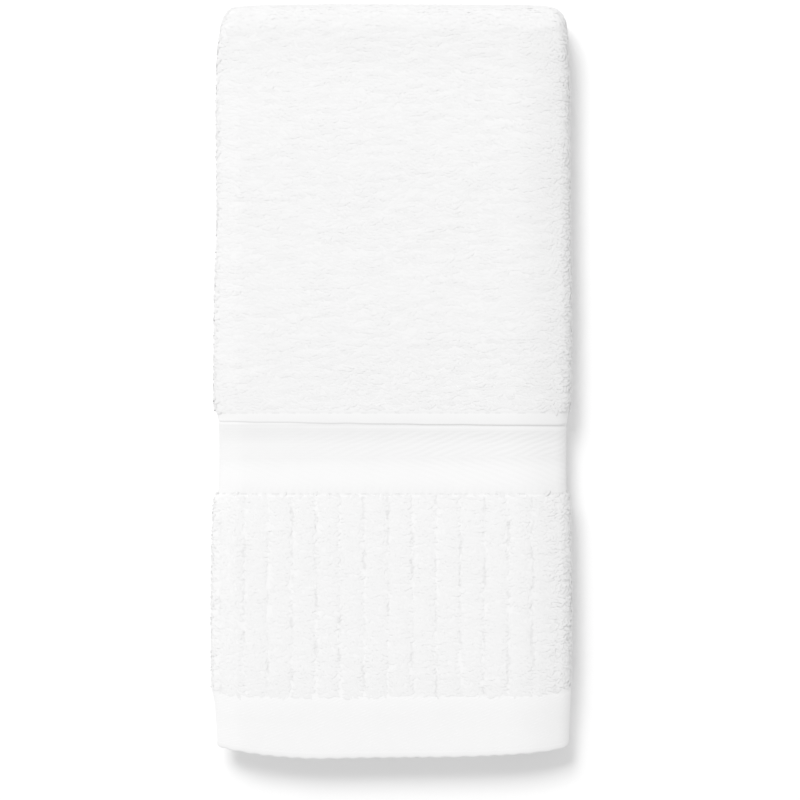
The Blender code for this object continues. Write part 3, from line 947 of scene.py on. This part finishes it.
def twill_group():
    """Slanted rows of threads, broken into short stitches. Its place is in millimetres on the flat cut."""
    group, start, end = new_group(
        "twill_rows",
        [
            ("Place", "NodeSocketVector", None),
            ("Slope", "NodeSocketFloat", 0.3),
            ("Pitch", "NodeSocketFloat", 1.4),
            ("Stitch", "NodeSocketFloat", 2.2),
        ],
        [("Relief", "NodeSocketFloat"), ("Stitches", "NodeSocketFloat")],
    )
    place = add_node(group, "ShaderNodeSeparateXYZ", {0: start.outputs["Place"]})
    shift = arithmetic(group, "MULTIPLY", place.outputs["X"], start.outputs["Slope"])
    level = arithmetic(group, "SUBTRACT", place.outputs["Y"], shift)
    rows = arithmetic(group, "DIVIDE", level, start.outputs["Pitch"])
    offset = arithmetic(group, "MULTIPLY", arithmetic(group, "FLOOR", rows), ROW_SHIFT)
    along_row = arithmetic(group, "DIVIDE", place.outputs["X"], start.outputs["Stitch"])
    high_row = wave(group, rows)
    high_stitch = wave(group, arithmetic(group, "ADD", along_row, offset))
    stitches = arithmetic(group, "MULTIPLY", high_row, high_stitch)
    group.links.new(add_up(group, high_row, [(stitches, STITCH_RELIEF)]), end.inputs["Relief"])
    group.links.new(stitches, end.inputs["Stitches"])
    return group


def step_mask(tree, value, low, high):
    """A mask that is 1 where a value in millimetres lies between two others, with soft edges."""
    up = map_range(tree, value, low - EDGE_SOFT, low + EDGE_SOFT)
    down = map_range(tree, value, high + EDGE_SOFT, high - EDGE_SOFT)
    return arithmetic(tree, "MULTIPLY", up, down)


def shade_near(tree, value, place, shade):
    """The shade around a place, by its start, where it is full, and its depth."""
    start, full, depth = shade
    return map_range(tree, value, place + start, place + full, depth, "SMOOTHSTEP")


def flat_distances(tree, flat):
    """Three distances on the flat cut in millimetres: across it, from the turned end's middle line, and from
    the nearer hem's edge."""
    place = add_node(tree, "ShaderNodeSeparateXYZ", {0: flat})
    from_turn = arithmetic(tree, "ABSOLUTE", place.outputs["Y"])
    return place.outputs["X"], from_turn, arithmetic(tree, "SUBTRACT", CUT_LENGTH / 2 * MM, from_turn)


def painted_shade_group():
    """Painted shade in the cotton's colour: by the full side fold, where it rounds away from the light, at
    the turned end, which faces the light, and here and there in the ribs' grooves. Place is in millimetres
    on the flat cut, Body in metres."""
    group, start, end = new_group(
        "painted_shade",
        [("Place", "NodeSocketVector", None), ("Body", "NodeSocketVector", None)],
        [("Shade", "NodeSocketFloat")],
    )
    body = start.outputs["Body"]
    across, from_turn, from_hem = flat_distances(group, start.outputs["Place"])
    by_side = shade_near(group, across, PANEL_END * MM, SIDE_SHADE)
    by_turn = shade_near(group, from_turn, QUARTER_TURN * MM, TURN_SHADE)
    x = add_node(group, "ShaderNodeSeparateXYZ", {0: body}).outputs["X"]
    from_first = arithmetic(group, "ADD", x, GROOVES_LEFT * RIB_PITCH - GROOVE_X)
    wander = noise(group, body, WANDER_SCALE, 3.0)
    moved = arithmetic(group, "MULTIPLY_ADD", wander, 2 * GROOVE_SHADE_WANDER, from_first)
    moved = arithmetic(group, "SUBTRACT", moved, GROOVE_SHADE_WANDER)
    from_middle = arithmetic(group, "PINGPONG", moved, RIB_PITCH / 2)
    by_groove = shade_near(group, from_middle, 0.0, GROOVE_SHADE)
    dashes = map_range(group, noise(group, body, DASH_SCALE, 2.0), *DASH_LIMITS)
    in_ribs = step_mask(group, from_hem, HEM_END * MM, RIBS_END * MM)
    in_grooves = arithmetic(group, "MULTIPLY", arithmetic(group, "MULTIPLY", by_groove, in_ribs), dashes)
    by_folds = arithmetic(group, "MAXIMUM", by_side, by_turn)
    group.links.new(arithmetic(group, "MAXIMUM", by_folds, in_grooves), end.inputs["Shade"])
    return group


def new_material(name):
    """A material with its shader and output alone."""
    material = bpy.data.materials.new(name)
    material.use_nodes = True
    tree = material.node_tree
    return material, tree, tree.nodes["Principled BSDF"]


def tone_to_colour(tree, tone, shader, dark, light):
    """The base colour between two greys, by a tone from 0 to 1."""
    mix = add_node(tree, "ShaderNodeMix", data_type="RGBA")
    mix.inputs["A"].default_value = (dark, dark, dark, 1)
    mix.inputs["B"].default_value = (light, light, light, 1)
    tree.links.new(tone, mix.inputs["Factor"])
    tree.links.new(mix.outputs["Result"], shader.inputs["Base Color"])


def start_cotton(name, fibres, painted_shade, fineness):
    """A cotton material with its tree and shader, its places on the flat cut, its fibres and its painted
    shade.
    """
    material, tree, shader = new_material(name)
    shader.inputs["Specular IOR Level"].default_value = 0.25
    shader.inputs["Sheen Weight"].default_value = 0.15
    shader.inputs["Sheen Roughness"].default_value = 0.5
    body = add_node(tree, "ShaderNodeTexCoord").outputs["Object"]
    cut = add_node(tree, "ShaderNodeUVMap", uv_map="flat_cut").outputs["UV"]
    scaling = {0: cut, "Scale": CUT_LENGTH * MM}
    flat = add_node(tree, "ShaderNodeVectorMath", scaling, operation="SCALE").outputs["Vector"]
    loose = add_node(tree, "ShaderNodeGroup", {"Place": body, "Fineness": fineness}, node_tree=fibres)
    shade = add_node(tree, "ShaderNodeGroup", {"Place": flat, "Body": body}, node_tree=painted_shade)
    return material, tree, shader, flat, loose.outputs, shade.outputs["Shade"]


def finish_cotton(tree, shader, relief, depth, roughness, tone, light):
    """Links a cotton material's relief, with its depth in metres, its roughness and its tone."""
    bump_inputs = {"Strength": BUMP_STRENGTH, "Distance": depth, "Height": relief}
    bump = add_node(tree, "ShaderNodeBump", bump_inputs)
    tree.links.new(bump.outputs["Normal"], shader.inputs["Normal"])
    tree.links.new(roughness, shader.inputs["Roughness"])
    tone_to_colour(tree, tone, shader, DARKEST, light)


def cloth_material(fibres, twill, painted_shade):
    """White cotton ground cloth, with the hem's twill, the band's fine stitches, loose fibres, painted shade
    and painted light.
    """
    material, tree, shader, flat, loose, shade = start_cotton("cotton_ground", fibres, painted_shade, 0.7)
    across, _, from_hem = flat_distances(tree, flat)
    in_hem = step_mask(tree, from_hem, HEM_ROLL, HEM_END * MM)
    in_hem_and_edge = step_mask(tree, from_hem, -1.0, HEM_END * MM)
    in_ribs = step_mask(tree, from_hem, HEM_END * MM, RIBS_END * MM)
    in_band = step_mask(tree, from_hem, RIBS_END * MM, BAND_END * MM)
    in_border = step_mask(tree, from_hem, RIBS_END * MM, STRIP_END * MM)
    smooth_weave = arithmetic(tree, "ADD", in_hem_and_edge, in_border)

    # The hem's twill stands out in patches.
    hem_rows = add_node(tree, "ShaderNodeGroup", {"Place": flat, **HEM_TWILL}, node_tree=twill).outputs
    band_rows = add_node(tree, "ShaderNodeGroup", {"Place": flat, **BAND_TWILL}, node_tree=twill).outputs
    patches = map_range(tree, noise(tree, flat, TWILL_PATCH_SCALE, 2.0, 0.6), *TWILL_PATCH_LIMITS)
    patchy = arithmetic(tree, "MULTIPLY_ADD", patches, 1 - FAINTEST_TWILL, FAINTEST_TWILL)
    hem_relief = arithmetic(tree, "MULTIPLY", hem_rows["Relief"], in_hem)
    hem_relief = arithmetic(tree, "MULTIPLY", hem_relief, patchy)
    band_part = arithmetic(tree, "MULTIPLY", band_rows["Relief"], in_band)
    relief = add_up(tree, hem_relief, [(band_part, BAND_RELIEF), (loose["Relief"], FUZZ_RELIEF)])
    stitches = arithmetic(tree, "MULTIPLY", hem_rows["Stitches"], in_hem)
    stitches = arithmetic(tree, "MULTIPLY", stitches, patches)

    # Painted shade on the threads where a weave turns into pile, in dashes.
    dash_inputs = {"W": across, "Scale": THREAD_DASH_SCALE, "Detail": 3.0}
    dash_noise = add_node(tree, "ShaderNodeTexNoise", dash_inputs, noise_dimensions="1D")
    dashes = map_range(tree, dash_noise.outputs["Fac"], *THREAD_DASH_LIMITS)
    by_ribs = step_mask(tree, from_hem, RIBS_END * MM + BY_RIBS[0], RIBS_END * MM + BY_RIBS[1])
    by_pile = step_mask(tree, from_hem, STRIP_END * MM + BY_PILE[0], STRIP_END * MM + BY_PILE[1])
    painted_thread_shade = arithmetic(tree, "MULTIPLY", arithmetic(tree, "ADD", by_ribs, by_pile), dashes)

    tone_parts = [
        (loose["Tone"], 0.13),
        # painted shade by the full side fold, at the turned end and in the ribs' grooves
        (shade, -0.39),
        # painted shade on the threads where a weave turns into pile
        (painted_thread_shade, -0.45),
        (stitches, 0.14),
        (smooth_weave, 0.14),
        (in_hem_and_edge, -0.10),
        # painted light: lifts the hem, whose slope faces away from the light
        (in_hem, 0.22),
        (in_band, -0.155),
        (in_ribs, 0.14),
    ]
    tone = add_up(tree, 0.41, tone_parts)
    roughness = add_up(tree, 0.86, [(loose["Relief"], 0.10)])
    finish_cotton(tree, shader, relief, GROUND_BUMP, roughness, tone, LIGHT_GROUND)
    return material


def loop_material(fibres, painted_shade):
    """White looped cotton yarn, a little uneven in tone from clump to clump, with its fuzz and painted
    shade.
    """
    material, tree, shader, flat, loose, shade = start_cotton("cotton_loops", fibres, painted_shade, 1.0)
    _, _, from_hem = flat_distances(tree, flat)
    in_ribs = step_mask(tree, from_hem, HEM_END * MM, RIBS_END * MM)
    # The tone holds painted shade by the full side fold, at the turned end and in the ribs' grooves.
    tone = add_up(tree, 0.66, [(loose["Tone"], 0.25), (shade, -0.65), (in_ribs, 0.22)])
    roughness = add_up(tree, 0.88, [(loose["Relief"], 0.08)])
    finish_cotton(tree, shader, loose["Relief"], LOOP_BUMP, roughness, tone, LIGHT_LOOPS)
    return material


# The picture is square, and this much of the towel's top plane fits across it.
VIEW_SIDE = 0.3690
VIEW_DISTANCE = 1.30
VIEW_MIDDLE = (0.0039, -0.0091)
TOP_PLANE = 0.0275
SENSOR = 36.0
# The key light's place, its side and its power, and how strong the plain surroundings are.
KEY_PLACE = (-0.93, 1.80, 2.72)
KEY_SIZE = 1.25
KEY_POWER = 102.0
SURROUNDINGS = 0.45


def make_camera():
    """A camera straight above, as the towel is seen."""
    camera = bpy.data.cameras.new("camera")
    camera.sensor_width = SENSOR
    camera.lens = SENSOR * VIEW_DISTANCE / VIEW_SIDE
    camera.clip_end = 10.0
    seen_from = link("camera", camera)
    seen_from.location = (VIEW_MIDDLE[0], VIEW_MIDDLE[1], TOP_PLANE + VIEW_DISTANCE)
    bpy.context.scene.camera = seen_from


def make_key_light():
    """A soft square light from the upper left, aimed at the towel."""
    light = bpy.data.lights.new("key", "AREA")
    light.shape = "SQUARE"
    light.size = KEY_SIZE
    light.energy = KEY_POWER
    made = link("key", light)
    made.location = KEY_PLACE
    made.rotation_euler = (-made.location).to_track_quat("-Z", "Y").to_euler()


def make_stage():
    """A plain white floor and soft studio light."""
    bpy.ops.object.select_all(action="DESELECT")
    bpy.ops.mesh.primitive_plane_add(size=6.0, location=(0, 0, 0))
    floor = bpy.context.object
    floor.name = "floor"
    material, tree, shader = new_material("pale_floor")
    shader.inputs["Roughness"].default_value = 0.8
    body = add_node(tree, "ShaderNodeTexCoord").outputs["Object"]
    tone_to_colour(tree, noise(tree, body, 6.0, 2.0), shader, *FLOOR_LEVELS)
    floor.data.materials.append(material)
    make_key_light()
    world = bpy.data.worlds.new("studio")
    world.use_nodes = True
    background = world.node_tree.nodes["Background"]
    background.inputs["Color"].default_value = (1, 1, 1, 1)
    background.inputs["Strength"].default_value = SURROUNDINGS
    bpy.context.scene.world = world
    bpy.context.scene.view_settings.view_transform = "Standard"
    bpy.context.scene.view_settings.gamma = 2.0


def make_towel():
    """The towel: its ground cloth and its pile, one sheet folded on itself."""
    fibres = cotton_fibres_group()
    twill = twill_group()
    painted_shade = painted_shade_group()
    cloth = make_towel_cloth()
    pile = make_all_pile()
    cloth.data.materials.append(cloth_material(fibres, twill, painted_shade))
    loops = loop_material(fibres, painted_shade)
    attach(cloth, "root")
    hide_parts("towel")
    for part in pile:
        part.data.materials.append(loops)
        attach(part, "root")
    return [cloth] + pile


make_stage()
make_camera()
pieces = make_towel()
bpy.context.view_layer.update()
